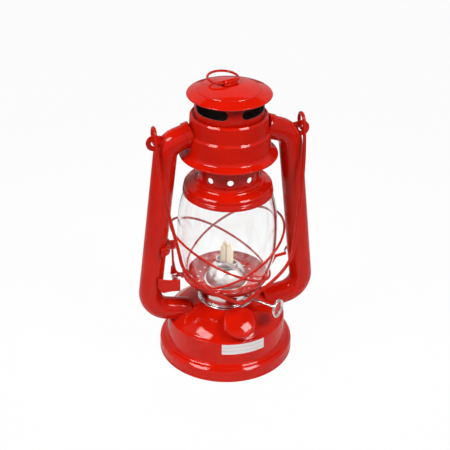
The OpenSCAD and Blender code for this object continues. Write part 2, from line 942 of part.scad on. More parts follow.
module lift_lever() {
    color(red) {
        difference() {
            translate([web_x - web_t, 0, 0])
                rotate([90, 0, 90])
                    linear_extrude(web_t)
                        union() {
                            translate([pivot_y, pivot_h])
                                circle(r = web_r);
                            translate([peg_y, peg_h])
                                circle(r = peg_r + 0.6);
                            polygon([
                                [pivot_y, pivot_h + web_r], [pivot_y, pivot_h - web_r],
                                [peg_y, peg_h - peg_r - 0.6], [peg_y, peg_h + peg_r + 0.6]
                            ]);
                            polygon([
                                [pivot_y, pivot_h + web_r], [pivot_y, pivot_h - web_r],
                                [tab_y - web_t, pivot_h + tab_low],
                                [tab_y - web_t, pivot_h + tab_high - tab_drop]
                            ]);
                        }
            translate([0, pivot_y, pivot_h])
                rotate([0, 90, 0])
                    cylinder(r = lever_pin_r + run_gap, h = far, center = true);
        }
        translate([0, tab_y, pivot_h])
            rotate([90, 0, 0])
                linear_extrude(web_t)
                    polygon(concat(
                        bowed([tab_left, tab_high], [web_x, tab_high - tab_drop], -1.4),
                        bowed([web_x, tab_low], [tab_left + tab_heel[0], tab_low], -0.7),
                        [[tab_left, tab_low + tab_heel[1]]]
                    ));
    }
}

// The stud on the lever that lifts the globe plate by its lug
module lever_peg() {
    color(red)
        translate([web_x + touch, peg_y, peg_h])
            rotate([0, 90, 0])
                cylinder(r = peg_r, h = peg_l);
}

// Stations [x, z, heading] round a corner of the run
function bend_stations(p, q, r, bend) =
    let (
        turn = corner_turn(p, q, r),
        normal = heading(p, q) + (turn > 0 ? 90 : -90),
        start = q - unit(q - p) * cut_back(p, q, r, bend),
        centre = start + bend * [cos(normal), sin(normal)]
    )
    [for (i = [0:arc_steps])
        let (a = turn * i / arc_steps, c = centre - bend * [cos(normal + a), sin(normal + a)])
        [c[0], c[1], heading(p, q) + a]];

// One point on the skin of the tube at a station
function skin_point(station, radius, a) =
    [station[0], 0, station[1]]
    + radius * [-sin(station[2]) * cos(a), sin(a), cos(station[2]) * cos(a)];

// Where a line from p, inside a mass, to q, outside it, passes the mass's face
function meeting(inside, p, q, halvings = 20) =
    halvings == 0 ? q
    : inside((p + q) / 2) ? meeting(inside, (p + q) / 2, q, halvings - 1)
    : meeting(inside, p, (p + q) / 2, halvings - 1);

in_crown = function (p) norm([p[0], p[1]]) < 3 * touch + lookup(p[2], [
    [crown_base, crown_r],
    [crown_step_h - 1.2, crown_r - 0.4],
    [crown_step_h + 1.2, crown_r - crown_step],
    [crown_top - crown_round, crown_r - crown_step - 0.8]
]);

in_tank = function (p) p[2] < touch + lookup(norm([p[0], p[1]]), dome_line(0));

module air_tube() {
    a = tube_run[0];
    b = tube_run[1];
    c = tube_run[2];
    d = tube_run[3];
    bends = concat(bend_stations(a, b, c, top_bend), bend_stations(b, c, d, foot_bend));
    first = bends[0];
    last = bends[len(bends) - 1];
    count = len(bends) + 2;
    top = [a[0], a[1], first[2]];
    tail = [d[0], d[1], last[2]];
    turns = [for (k = [0:tube_sides - 1]) 360 * k / tube_sides];
    walls = [for (w = [tube_r, tube_r - sheet]) concat(
        [for (t = turns) meeting(in_crown, skin_point(top, w, t), skin_point(first, w, t))],
        [for (station = bends, t = turns) skin_point(station, w, t)],
        [for (t = turns) meeting(in_tank, skin_point(tail, w, t), skin_point(last, w, t))]
    )];
    n = tube_sides;
    skin = [for (wall = [0, 1], i = [0:count - 2], k = [0:n - 1], half = [0, 1])
        let (
            j = (wall * count + i) * n,
            l = (k + 1) % n,
            face = half == 0 ? [j + k, j + l, j + n + l] : [j + k, j + n + l, j + n + k]
        )
        wall == 0 ? face : [face[2], face[1], face[0]]];
    ends = [for (end = [0, count - 1], k = [0:n - 1], half = [0, 1])
        let (
            j = end * n,
            m = (count + end) * n,
            l = (k + 1) % n,
            face = half == 0 ? [j + k, m + k, m + l] : [j + k, m + l, j + l]
        )
        end == 0 ? face : [face[2], face[1], face[0]]];
    polyhedron(concat(walls[0], walls[1]), concat(skin, ends));
}

module left_air_tube() {
    color(red)
        mirror([1, 0, 0])
            air_tube();
}

module right_air_tube() {
    color(red)
        air_tube();
}

module tube_collars() {
    collar_from = crown_r - 1 - run_top[0];
    color(red)
        both_sides()
            difference() {
                rotate([90, 0, 0])
                    translate([run_top[0], run_top[1], 0])
                        rotate([0, 0, -tube_slope])
                            rotate([0, 90, 0])
                                ring(
                                    tube_r + touch, tube_r + collar_wall,
                                    0, collar_from + collar_l + 2
                                );
                crown_mass(touch);
            }
}

// Outline of the crown from its flange rim to the hole in its top, drawn in by inset
function crown_outline(inset) = concat(
    [[flange_r - inset * 0.5, flange_rim], [flange_r - inset * 0.3, flange_rim + 1.2 - inset * 0.4]],
    [[crown_r - inset, crown_base - inset * 0.4]],
    [[crown_r - 0.4 - inset, crown_step_h - 1.2 - inset * 0.3]],
    [[crown_r - crown_step - inset, crown_step_h + 1.2 - inset * 0.3]],
    arc(
        crown_r - crown_step - 0.8 - crown_round - inset, crown_top - crown_round - inset,
        crown_round, 0, 90, 6
    )
);

// Everything inside the crown's outer face, grown by gap
module crown_mass(gap = 0) {
    turned(concat([[0, flange_rim]], crown_outline(-gap), [[0, crown_top + gap]]));
}

module crown() {
    hole = vent_r + slide_gap;
    inner = crown_outline(sheet);
    color(red)
        difference() {
            turned(concat(
                crown_outline(0), [[hole, crown_top], [hole, crown_top - sheet]],
                [for (i = [len(inner) - 1:-1:0]) inner[i]]
            ));
            both_sides()
                tube_ports(tube_r - sheet);
        }
}

module ear(side) {
    root = [shoulder_reach - 4, run_shoulder[1] - 6];
    mirror([side < 0 ? 1 : 0, 0, 0])
        difference() {
            rotate([90, 0, 0])
                linear_extrude(ear_t, center = true)
                    difference() {
                        union() {
                            translate([ear_reach, ear_h])
                                circle(r = ear_r);
                            polygon([
                                [ear_reach, ear_h + ear_r], root + [0, 12],
                                root, [ear_reach, ear_h - ear_r]
                            ]);
                        }
                        translate([ear_reach, ear_h])
                            circle(r = ear_hole_r);
                    }
            tube_sweep(tube_r + touch);
        }
}

module left_ear() {
    color(red)
        ear(-1);
}

module right_ear() {
    color(red)
        ear(1);
}

// The hanging bail's plane: down its legs, and out from the axis to the legs
bail_down = [0, -sin(bail_tilt), -cos(bail_tilt)];
bail_out = [0, -cos(bail_tilt), sin(bail_tilt)];
bail_axis = [0, 0, bail_axis_h];

// The eye of the right leg, from its cut end to the tangent with the leg
function eye_path() =
    [for (i = [0:eye_steps - 1])
        let (a = -eye_sweep * (1 - i / eye_steps))
        bail_axis + [ear_reach, 0, 0] + eye_r * (cos(a) * bail_out + sin(a) * bail_down)];

// The right half of the bow from the eye to the kink
function bow_path() =
    let (
        top = [ear_reach, 0],
        waist = [bail_waist, bail_bend],
        kink = [0, bail_reach]
    )
    [for (i = [0:2 * leg_steps])
        let (
            t = i <= leg_steps ? i / leg_steps : i / leg_steps - 1,
            above = waist + [bail_waist_lean, -bail_waist_pull[0]],
            below = waist + [-bail_waist_lean, bail_waist_pull[1]],
            p = i <= leg_steps
                ? cubic(top, top + [0, bail_leg_pull], above, waist, t)
                : cubic(waist, below, kink + kink_pull, kink, t)
        )
        bail_axis + bail_out * eye_r + [p[0], 0, 0] + bail_down * p[1]];

module bail() {
    half = concat(eye_path(), bow_path());
    last = len(half) - 1;
    other = [for (i = [last - 1:-1:0]) [-half[i][0], half[i][1], half[i][2]]];
    color(red)
        wire(concat(half, other), bail_r, [1, 0, 0]);
}

// Outline of the bell from its rim to the neck, drawn in by inset
function bell_outline(inset) = concat(
    [[bell_r - inset, bell_rim], [bell_r - inset, bell_rim + 1]],
    oval(
        neck_r + sheet - inset, bell_rim + bell_skirt - inset * 0.5,
        bell_r - 0.6 - neck_r - sheet, bell_h - bell_skirt - inset * 0.5, 0, 90
    )
);

module hood_bell() {
    inner = bell_outline(sheet);
    collar = neck_r + touch;
    color(red)
        turned(concat(
            bell_outline(0), [[neck_r + sheet, neck_base + 2], [collar, neck_base + 2]],
            [[collar, neck_base - sheet]],
            [for (i = [len(inner) - 2:-1:0]) inner[i]]
        ));
}

module chimney_tube() {
    color(red)
        difference() {
            ring(neck_r - sheet, neck_r, neck_base - 2.4, vent_bottom + 3);
            for (i = [0:hole_count - 1])
                rotate([0, 0, hole_turn + 360 * i / hole_count])
                    translate([neck_r - drill / 2, 0, hole_h])
                        rotate([0, 90, 0])
                            cylinder(d = hole_d, h = drill);
        }
}

// One slot with round ends through the vent ring, at X
module vent_slot() {
    end = asin(slot_h / 2 / vent_r);
    turn = slot_angle / 2 - end;
    rotate([0, 0, -turn])
        rotate_extrude(angle = 2 * turn)
            translate([neck_r - drill / 2, slot_bottom])
                square([drill, slot_h]);
    for (side = [-1, 1])
        rotate([0, 0, side * turn])
            translate([neck_r - drill / 2, 0, slot_bottom + slot_h / 2])
                rotate([0, 90, 0])
                    cylinder(d = slot_h, h = drill);
}

module vent_ring() {
    color(red)
        difference() {
            ring(neck_r + touch, vent_r, vent_bottom, vent_top);
            for (i = [0:slot_count - 1])
                rotate([0, 0, slot_turn + 360 * (i + 0.5) / slot_count])
                    vent_slot();
        }
}

module hood_cap() {
    ridge = [cap_ridge_r, cap_top - cap_ridge_drop];
    rim = [cap_r, cap_top - cap_rise];
    color(red)
        turned(concat(
            bowed([0, cap_top], ridge, 0.5), [rim],
            [[cap_r, rim[1] - cap_edge], [cap_r - sheet, rim[1] - cap_edge]],
            [[cap_r - sheet, rim[1] - sheet]],
            [[ridge[0], ridge[1] - sheet], [0, cap_top - sheet]]
        ));
}

// Frame of the lift ring: X along its hinge in the strap, Y towards the ring
module ring_frame() {
    translate([0, 0, ring_axis_h])
        rotate([0, 0, strap_turn])
            children();
}

module ring_strap() {
    tunnel = ring_wire_r + 0.3;
    foot = strap_rise - touch;
    color(red)
        ring_frame()
            rotate([90, 0, 90])
                linear_extrude(strap_l, center = true)
                    difference() {
                        union() {
                            circle(r = tunnel + strap_wall);
                            translate([-tunnel - strap_wall - 1.6, -foot])
                                square([2 * (tunnel + strap_wall) + 3.2, 0.9]);
                            translate([-tunnel - strap_wall, -foot])
                                square([2 * (tunnel + strap_wall), foot]);
                        }
                        circle(r = tunnel);
                        translate([-20, -foot - 10])
                            square([40, 10]);
                    }
}

module lift_ring() {
    reach = ring_mean_r - ring_bend;
    rise = ring_bend + sqrt(reach * reach - ring_half * ring_half);
    turn = atan2(rise - ring_bend, ring_half);
    bow = concat(
        [[ring_half - 0.5, 0]],
        arc(ring_half, ring_bend, ring_bend, -90, -turn, 5),
        arc(0, rise, ring_mean_r, 10 - turn, 170 + turn, 30),
        arc(-ring_half, ring_bend, ring_bend, turn - 180, -90, 5),
        [[0.5 - ring_half, 0]]
    );
    color(red)
        ring_frame()
            rotate([ring_lay, 0, 0]) {
                translate([-ring_half, 0, 0])
                    rotate([0, 90, 0])
                        cylinder(r = ring_wire_r + 0.05, h = 2 * ring_half);
                wire([for (p = bow) [p[0], p[1], 0]], ring_wire_r, [0, 0, 1]);
            }
}

tank_shell();
tank_bottom();
tank_baffle();
filler_neck();
filler_gasket();
filler_cap();
paper_label();
burner_collar();
burner_body();
burner_cone();
wick_tube();
wick();
spindle_bush();
wick_spindle();
wick_sprockets();
wick_knob();
globe_plate();
globe();
guard_hoop_left();
guard_hoop_right();
left_guide();
lift_post();
right_guide();
lever_bracket();
lever_pin();
lift_lever();
lever_peg();
left_air_tube();
right_air_tube();
tube_collars();
crown();
left_ear();
right_ear();
bail();
hood_bell();
chimney_tube();
vent_ring();
hood_cap();
ring_strap();
lift_ring();
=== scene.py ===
"""Red kerosene lantern: fine shapes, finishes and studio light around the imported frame."""

import math

import bmesh
import bpy
from mathutils import Matrix, Vector


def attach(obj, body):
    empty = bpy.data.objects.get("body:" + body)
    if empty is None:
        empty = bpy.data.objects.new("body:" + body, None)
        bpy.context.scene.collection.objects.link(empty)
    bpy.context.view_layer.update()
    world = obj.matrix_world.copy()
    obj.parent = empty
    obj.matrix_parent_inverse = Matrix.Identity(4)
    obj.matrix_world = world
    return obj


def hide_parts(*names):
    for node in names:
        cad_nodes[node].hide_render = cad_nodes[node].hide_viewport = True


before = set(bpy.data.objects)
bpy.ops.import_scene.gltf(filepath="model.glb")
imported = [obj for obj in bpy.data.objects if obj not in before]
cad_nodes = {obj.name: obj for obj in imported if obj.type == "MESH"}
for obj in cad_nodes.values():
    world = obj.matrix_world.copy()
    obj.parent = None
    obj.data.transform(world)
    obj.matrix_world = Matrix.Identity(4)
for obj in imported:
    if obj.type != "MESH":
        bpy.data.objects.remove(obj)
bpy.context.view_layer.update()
MM = 0.001
FULL_TURN = 2 * math.pi

# Camera, fitted to the photograph: place in metres, then its right and up directions
CAMERA_PLACE = Vector((-0.218908, -0.776899, 0.588562))
CAMERA_RIGHT = Vector((0.965154, -0.261334, 0.013473))
CAMERA_UP = Vector((0.120250, 0.488654, 0.864151))
CAMERA_LENS = 90.556

# Sizes in millimetres and angles in radians, as in the solids
SHEET = 0.8
FILLER_TILT = math.radians(37)
FILLER_PLACE = Vector((0, -37.4, 43.1426))
SPINDLE_TURN = math.radians(-47.8)
SPINDLE_PLACE = Vector((0, -4.5, 58.5))
TUBE_RUN = [Vector((30.1, 205.733)), Vector((50.6, 198.674)),
            Vector((67.6, 48.1766)), Vector((33.8, 41.6065))]
TUBE_RADIUS = 9.6
TOP_BEND = 15.5
FOOT_BEND = 17.5
EAR_REACH = 60.2
BAIL_AXIS = 206.874
EYE_RADIUS = 6.3
BAIL_TILT = math.radians(15.8)
RING_AXIS = 246.293
STRAP_TURN = math.radians(21)
WICK_FRAY = 5.0

# Outlines of turned pieces: corners as radius, height and rounding in millimetres
TANK_RIM = [(56.2, 0, 0), (57, 0, 0.5), (57, 2.2, 0.3)]
TANK_FOOT = [
    (57, 7.4, 0), (56.6, 10.1, 0.7), (54.7, 11.9, 0.6), (53.2, 12.35, 0.5), (52.75, 12.55, 0.2),
    (52.08, 13.19, 0.3), (51.3, 13.55, 0.5), (50.55, 14.4, 0.8), (50.37, 17.5, 0)]
CROWN_DRUM = [
    (39.2, 185.4, 0), (39.6, 186.0, 0.4), (39.1, 186.8, 0.4), (34.0, 189.9, 5.5),
    (33.1, 204.95, 0.5), (31.7, 206.75, 0.5), (31.05, 219.0, 0.6), (29.9, 220.45, 0.4),
    (29.4, 220.7, 0.2), (29.0, 219.0, 0.4), (27.9, 219.0, 0.2), (27.9, 218.2, 0.2),
    (30.0, 218.2, 1.5), (30.6, 206.5, 0.5), (32.2, 204.8, 0.5), (33.1, 189.6, 5.5),
    (38.6, 185.9, 0.3)]
BELL = [
    (36.0, 151.5, 0), (36.5, 151.4, 0.2), (36.9, 151.8, 0.3), (36.8, 153.8, 0.4),
    (36.3, 154.4, 0.3), (36.6, 155.3, 0.4), (36.0, 156.0, 0.4), (35.8, 158.65, 0.5),
    (34.75, 159.9, 0.5), (29.7, 162.35, 0.3), (29.15, 163.0, 0.3), (27.6, 163.5, 0.8),
    (26.75, 165.2, 0.8), (26.62, 165.9, 0), (26.45, 165.9, 0), (26.45, 162.0, 0.3),
    (29.0, 161.7, 0.8), (33.6, 159.3, 0.8), (35.1, 157.9, 0.6), (35.3, 156.0, 0.4)]
CAP_RIM = [
    (24.3, 240.85, 0.1), (24.7, 240.2, 0.2), (33.2, 237.4, 0.5), (33.7, 236.6, 0.4),
    (33.3, 236.1, 0.3), (32.9, 236.7, 0.3), (24.6, 239.4, 0.5), (0, 243.8, 0)]
FILLER_SKIRT = [(12.4, 3.2, 0.2), (12.6, 3.0, 0.2), (13.4, 3.2, 0.3)]
COLLAR = [
    (20.5, 49.75, 0), (23.4, 49.75, 0.2), (24.2, 50.3, 0.5), (24.2, 51.1, 0.5),
    (23.3, 51.7, 0.4), (22.6, 52.0, 0.4), (23.0, 53.65, 0.3), (20.5, 53.65, 0)]
KNOB = [
    (0, 51.4, 0), (3, 51.4, 0.3), (4.2, 52.3, 0.4), (7.1, 51.9, 0.4), (8.1, 52.6, 0.5),
    (8.1, 54.2, 0.7), (7.2, 54.6, 0.5), (5.9, 52.9, 0.6), (0, 52.7, 0)]
DOME_TOP = (23.5, 49.7)
DOME_BULGE = -2.2

# The crown's outer face as height and radius, for the tubes to end on
CROWN_FACE = [(191.5, 33.9), (204.95, 33.1), (206.75, 31.7), (218.3, 31.1), (230, 28.0)]

# Mesh making: metres and degrees
MERGE_DISTANCE = 2e-6
FLAT_ANGLE = 1
CREASE = 38
GLASS_CREASE = 60

# Sticker: heights of its ruled lines, their half width and its thickness in metres
RULED_HEIGHTS = (0.0301, 0.0269)
RULED_HALF = 0.00014
PAPER_THICK = 0.00012

# Studio: metres, watts and degrees; shares are of full white
FLOOR_SIZE = 12
FLOOR_HEIGHT = -0.0005
FLOOR_FADE = (0.16, 0.5)
FLOOR_WHITE = (0.85, 0.2)
FLOOR_SEEN = 0.965
FLOOR_MIRRORED = 0.05
CEILING_SIZE = 3.7
CEILING_HEIGHT = 2.3
CEILING_GREY = 0.24
SURROUND_LIGHT = 0.2
SURROUND_SEEN = 1.0
SURROUND_MIRRORED = 0.36
LAMP_AIM = Vector((0, 0, 0.12))
LAMP_ELEVATION = 47
LAMP_DISTANCE = 1.35
LAMP_TALL = 0.32
# Name, azimuth, power, width and whether reflections show it
LAMPS = (("soft_box_left", -69.5, 11.2, 0.62, True),
         ("soft_box_right", 37.5, 10.4, 0.46, True),
         ("soft_box_rear", 168, 4.5, 1.1, False))


# Outlines


def wrapped(angle):
    """An angle brought to within half a turn of zero."""
    return (angle + math.pi) % FULL_TURN - math.pi


def arc(cx, cz, rx, rz, start, end, steps=14):
    """Points on an arc of an ellipse, angles in degrees."""
    angles = [math.radians(start + (end - start) * i / steps) for i in range(steps + 1)]
    return [(cx + rx * math.cos(a), cz + rz * math.sin(a)) for a in angles]


def bowed(p, q, bulge, steps=20):
    """Points from p to q that stand out by bulge at the middle."""
    p, q = Vector(p), Vector(q)
    along = q - p
    out = Vector((-along.y, along.x)).normalized()
    shares = [i / steps for i in range(steps + 1)]
    return [tuple(p + along * t + out * bulge * 4 * t * (1 - t)) for t in shares]


def cubic(a, b, c, d, t):
    """Point on a cubic curve."""
    s = 1 - t
    return a * s**3 + b * 3 * s * s * t + c * 3 * s * t * t + d * t**3


def rounded(corners, steps=5):
    """An outline of (r, z, radius) corners with each corner rounded."""
    longest_cut = 0.48
    out = []
    for i, (r, z, radius) in enumerate(corners):
        p = Vector((r, z))
        if radius == 0:
            out.append((r, z))
            continue
        back = Vector(corners[i - 1][:2]) - p
        on = Vector(corners[(i + 1) % len(corners)][:2]) - p
        half = back.angle(on) / 2
        cut = min(radius / math.tan(half), longest_cut * back.length, longest_cut * on.length)
        start = p + back.normalized() * cut
        end = p + on.normalized() * cut
        middle = (back.normalized() + on.normalized()).normalized()
        centre = p + middle * cut / math.cos(half)
        a = math.atan2(start.y - centre.y, start.x - centre.x)
        b = math.atan2(end.y - centre.y, end.x - centre.x)
        turn = wrapped(b - a)
        reach = (start - centre).length
        for k in range(steps + 1):
            t = a + turn * k / steps
            out.append((centre.x + reach * math.cos(t), centre.y + reach * math.sin(t)))
    return out


def table_value(table, x):
    """The second value of a table of pairs at a first value, held at its ends."""
    if x <= table[0][0]:
        return table[0][1]
    for (x0, y0), (x1, y1) in zip(table, table[1:]):
        if x <= x1:
            return y0 + (y1 - y0) * (x - x0) / (x1 - x0)
    return table[-1][1]


DOME_LINE = bowed((48.2, 34.7), DOME_TOP, DOME_BULGE)[::-1]


# Meshes


def linked(name, data):
    """An object with this data, in the scene."""
    piece = bpy.data.objects.new(name, data)
    bpy.context.scene.collection.objects.link(piece)
    return piece


def finished(name, bm, material, place=None, crease=CREASE):
    """A smooth-shaded object from a bmesh, with its place in its mesh."""
    mesh = bpy.data.meshes.new(name)
    if place is not None:
        bm.transform(place)
    bm.to_mesh(mesh)
    bm.free()
    mesh.shade_smooth()
    mesh.set_sharp_from_angle(angle=math.radians(crease))
    mesh.materials.append(material)
    return linked(name, mesh)


def bridged(bm, rings):
    """Makes the faces between each ring of points and the next; one point is a tip."""
    for low, high in zip(rings, rings[1:]):
        count = max(len(low), len(high))
        for k in range(count):
            n = (k + 1) % count
            corners = [low[k % len(low)], low[n % len(low)],
                       high[n % len(high)], high[k % len(high)]]
            corners = list(dict.fromkeys(corners))
            if len(corners) > 2:
                bm.faces.new(corners)


def turned(name, outline, material, place=None, steps=192, crease=CREASE):
    """A shell turned from a closed outline of (radius, height) points in millimetres."""
    on_axis = 1e-4
    bm = bmesh.new()
    rings = []
    for r, z in outline:
        if r < on_axis:
            rings.append([bm.verts.new((0, 0, z * MM))])
            continue
        turns = (FULL_TURN * k / steps for k in range(steps))
        rings.append([bm.verts.new((r * MM * math.cos(a), r * MM * math.sin(a), z * MM))
                      for a in turns])
    bridged(bm, rings + rings[:1])
    bmesh.ops.recalc_face_normals(bm, faces=bm.faces)
    return finished(name, bm, material, place, crease)


def softened(node, material, edge):
    """A merged copy of a CAD node with smooth shading and softened edges."""
    bm = bmesh.new()
    bm.from_mesh(cad_nodes[node].data)
    bmesh.ops.remove_doubles(bm, verts=bm.verts, dist=MERGE_DISTANCE)
    bmesh.ops.dissolve_limit(bm, angle_limit=math.radians(FLAT_ANGLE),
                             verts=bm.verts, edges=bm.edges)
    sharp = [e for e in bm.edges
             if len(e.link_faces) == 2 and e.calc_face_angle() > math.radians(CREASE)]
    bmesh.ops.bevel(bm, geom=sharp, offset=edge * MM, segments=2, profile=0.6,
                    affect="EDGES", clamp_overlap=True)
    return finished(node + "_soft", bm, material)


# Node trees


def set_inputs(node, values):
    """Sets a node's inputs by name."""
    for name, value in values.items():
        node.inputs[name].default_value = value


def math_node(tree, operation, *values):
    """A math node fed by sockets or plain numbers; returns its result."""
    node = tree.nodes.new("ShaderNodeMath")
    node.operation = operation
    for socket, value in zip(node.inputs, values):
        if isinstance(value, bpy.types.NodeSocket):
            tree.links.new(value, socket)
        else:
            socket.default_value = value
    return node.outputs[0]


def map_range(tree, value, source, target):
    """Maps a value from one span to another, held at its ends."""
    node = tree.nodes.new("ShaderNodeMapRange")
    names = ("From Min", "From Max", "To Min", "To Max")
    set_inputs(node, dict(zip(names, (*source, *target))))
    tree.links.new(value, node.inputs["Value"])
    return node.outputs["Result"]


def new_tree(name, inputs):
    """A geometry node tree with named inputs; returns it with its group nodes."""
    tree = bpy.data.node_groups.new(name, "GeometryNodeTree")
    tree.interface.new_socket("Geometry", in_out="INPUT", socket_type="NodeSocketGeometry")
    for label, kind in inputs:
        tree.interface.new_socket(label, in_out="INPUT", socket_type=kind)
    tree.interface.new_socket("Geometry", in_out="OUTPUT", socket_type="NodeSocketGeometry")
    return tree, tree.nodes.new("NodeGroupInput"), tree.nodes.new("NodeGroupOutput")


def close_tree(tree, source, group_in, group_out):
    """Ends a tree in Realize Instances, smooth shading and Set Material."""
    real = tree.nodes.new("GeometryNodeRealizeInstances")
    smooth = tree.nodes.new("GeometryNodeSetShadeSmooth")
    paint = tree.nodes.new("GeometryNodeSetMaterial")
    tree.links.new(source, real.inputs["Geometry"])
    tree.links.new(real.outputs["Geometry"], smooth.inputs["Geometry"])
    tree.links.new(smooth.outputs["Geometry"], paint.inputs["Geometry"])
    tree.links.new(group_in.outputs["Finish"], paint.inputs["Material"])
    tree.links.new(paint.outputs["Geometry"], group_out.inputs["Geometry"])


def wire_tree():
    """Sweeps a round wire along the object's line."""
    tree, group_in, group_out = new_tree("wire_along_line", [
        ("Wire Radius", "NodeSocketFloat"), ("Sides", "NodeSocketInt"),
        ("Finish", "NodeSocketMaterial")])
    line = tree.nodes.new("GeometryNodeMeshToCurve")
    ring = tree.nodes.new("GeometryNodeCurvePrimitiveCircle")
    sweep = tree.nodes.new("GeometryNodeCurveToMesh")
    sweep.inputs["Fill Caps"].default_value = True
    tree.links.new(group_in.outputs["Geometry"], line.inputs["Mesh"])
    tree.links.new(group_in.outputs["Wire Radius"], ring.inputs["Radius"])
    tree.links.new(group_in.outputs["Sides"], ring.inputs["Resolution"])
    tree.links.new(line.outputs["Curve"], sweep.inputs["Curve"])
    tree.links.new(ring.outputs["Curve"], sweep.inputs["Profile Curve"])
    close_tree(tree, sweep.outputs["Mesh"], group_in, group_out)
    return tree


def fray_tree():
    """Stands short leaning yarn ends on a face."""
    tip_share, shortest, longest = 0.45, 0.3, 1.0
    tree, group_in, group_out = new_tree("frayed_yarn", [
        ("Yarns per Square Metre", "NodeSocketFloat"), ("Yarn Length", "NodeSocketFloat"),
        ("Yarn Radius", "NodeSocketFloat"), ("Lean Along", "NodeSocketFloat"),
        ("Lean Across", "NodeSocketFloat"), ("Seed", "NodeSocketInt"),
        ("Finish", "NodeSocketMaterial")])
    given = group_in.outputs
    points = tree.nodes.new("GeometryNodeDistributePointsOnFaces")
    yarn = tree.nodes.new("GeometryNodeMeshCone")
    set_inputs(yarn, {"Vertices": 7, "Side Segments": 3})
    tip = math_node(tree, "MULTIPLY", given["Yarn Radius"], tip_share)
    farthest = tree.nodes.new("ShaderNodeCombineXYZ")
    opposite = tree.nodes.new("ShaderNodeVectorMath")
    opposite.operation = "SCALE"
    opposite.inputs["Scale"].default_value = -1
    lean = tree.nodes.new("FunctionNodeRandomValue")
    lean.data_type = "FLOAT_VECTOR"
    size = tree.nodes.new("FunctionNodeRandomValue")
    size.data_type = "FLOAT"
    size.inputs[2].default_value = shortest
    size.inputs[3].default_value = longest
    stand = tree.nodes.new("GeometryNodeInstanceOnPoints")
    for source, target in (
            (given["Geometry"], points.inputs["Mesh"]),
            (given["Yarns per Square Metre"], points.inputs["Density"]),
            (given["Seed"], points.inputs["Seed"]),
            (given["Yarn Radius"], yarn.inputs["Radius Bottom"]),
            (tip, yarn.inputs["Radius Top"]),
            (given["Yarn Length"], yarn.inputs["Depth"]),
            (given["Lean Across"], farthest.inputs["X"]),
            (given["Lean Along"], farthest.inputs["Y"]),
            (farthest.outputs[0], opposite.inputs[0]),
            (opposite.outputs[0], lean.inputs[0]),
            (farthest.outputs[0], lean.inputs[1]),
            (given["Seed"], lean.inputs["Seed"]),
            (given["Seed"], size.inputs["Seed"]),
            (points.outputs["Points"], stand.inputs["Points"]),
            (yarn.outputs["Mesh"], stand.inputs["Instance"]),
            (lean.outputs[0], stand.inputs["Rotation"]),
            (size.outputs[1], stand.inputs["Scale"])):
        tree.links.new(source, target)
    close_tree(tree, stand.outputs["Instances"], group_in, group_out)
    return tree


def grown(piece, tree, values):
    """Runs a node tree on a piece and keeps the result as its plain mesh."""
    modifier = piece.modifiers.new(tree.name, "NODES")
    modifier.node_group = tree
    for item in tree.interface.items_tree:
        if item.in_out == "INPUT" and item.name in values:
            modifier[item.identifier] = values[item.name]
    depsgraph = bpy.context.evaluated_depsgraph_get()
    mesh = bpy.data.meshes.new_from_object(piece.evaluated_get(depsgraph))
    piece.modifiers.clear()
    piece.data = mesh
    return piece


def wire(name, points, radius, material, closed=False, sides=20):
    """A round wire along points in millimetres."""
    mesh = bpy.data.meshes.new(name)
    count = len(points)
    edges = [(i, (i + 1) % count) for i in range(count if closed else count - 1)]
    mesh.from_pydata([Vector(p) * MM for p in points], edges, [])
    values = {"Wire Radius": radius * MM, "Sides": sides, "Finish": material}
    return grown(linked(name, mesh), WIRE, values)


# Finishes


def new_finish(name):
    """A new material; returns it with its tree, shader and Object coordinates."""
    material = bpy.data.materials.new(name)
    material.use_nodes = True
    tree = material.node_tree
    place = tree.nodes.new("ShaderNodeTexCoord")
    return material, tree, tree.nodes["Principled BSDF"], place.outputs["Object"]


def noise(tree, where, scale, detail, rough=0.5):
    """A noise texture's factor."""
    texture = tree.nodes.new("ShaderNodeTexNoise")
    set_inputs(texture, {"Scale": scale, "Detail": detail, "Roughness": rough})
    tree.links.new(where, texture.inputs["Vector"])
    return texture.outputs["Fac"]


def spread(tree, factor, low=0, high=1):
    """Maps a noise's usual span to one between two values."""
    return map_range(tree, factor, (0.3, 0.7), (low, high))


def blended(tree, factor, first, second):
    """A colour between two, by a factor."""
    mix = tree.nodes.new("ShaderNodeMix")
    mix.data_type = "RGBA"
    tree.links.new(factor, mix.inputs[0])
    for socket, value in ((mix.inputs[6], first), (mix.inputs[7], second)):
        if isinstance(value, bpy.types.NodeSocket):
            tree.links.new(value, socket)
        else:
            socket.default_value = (*value, 1)
    return mix.outputs[2]


def bumped(tree, shader, height, strength, distance):
    """Raises the surface by a height factor."""
    bump = tree.nodes.new("ShaderNodeBump")
    set_inputs(bump, {"Strength": strength, "Distance": distance})
    tree.links.new(height, bump.inputs["Height"])
    tree.links.new(bump.outputs["Normal"], shader.inputs["Normal"])


def surface_mix(tree, factor, first, second):
    """Ends a material in a mix of two shaders."""
    mix = tree.nodes.new("ShaderNodeMixShader")
    for socket, source in zip(mix.inputs, (factor, first, second)):
        tree.links.new(source, socket)
    tree.links.new(mix.outputs[0], tree.nodes["Material Output"].inputs["Surface"])


def enamel(name, colour, pooled, rough=0.06):
    """Glossy stove enamel: slow colour drift and faint orange peel."""
    material, tree, shader, where = new_finish(name)
    drift = spread(tree, noise(tree, where, scale=55, detail=3))
    tree.links.new(blended(tree, drift, colour, pooled), shader.inputs["Base Color"])
    haze = noise(tree, where, scale=260, detail=5, rough=0.6)
    tree.links.new(spread(tree, haze, rough * 0.7, rough * 1.7), shader.inputs["Roughness"])
    peel = noise(tree, where, scale=900, detail=1)
    bumped(tree, shader, peel, strength=0.05, distance=0.0004)
    shader.inputs["Specular IOR Level"].default_value = 0.22
    return material


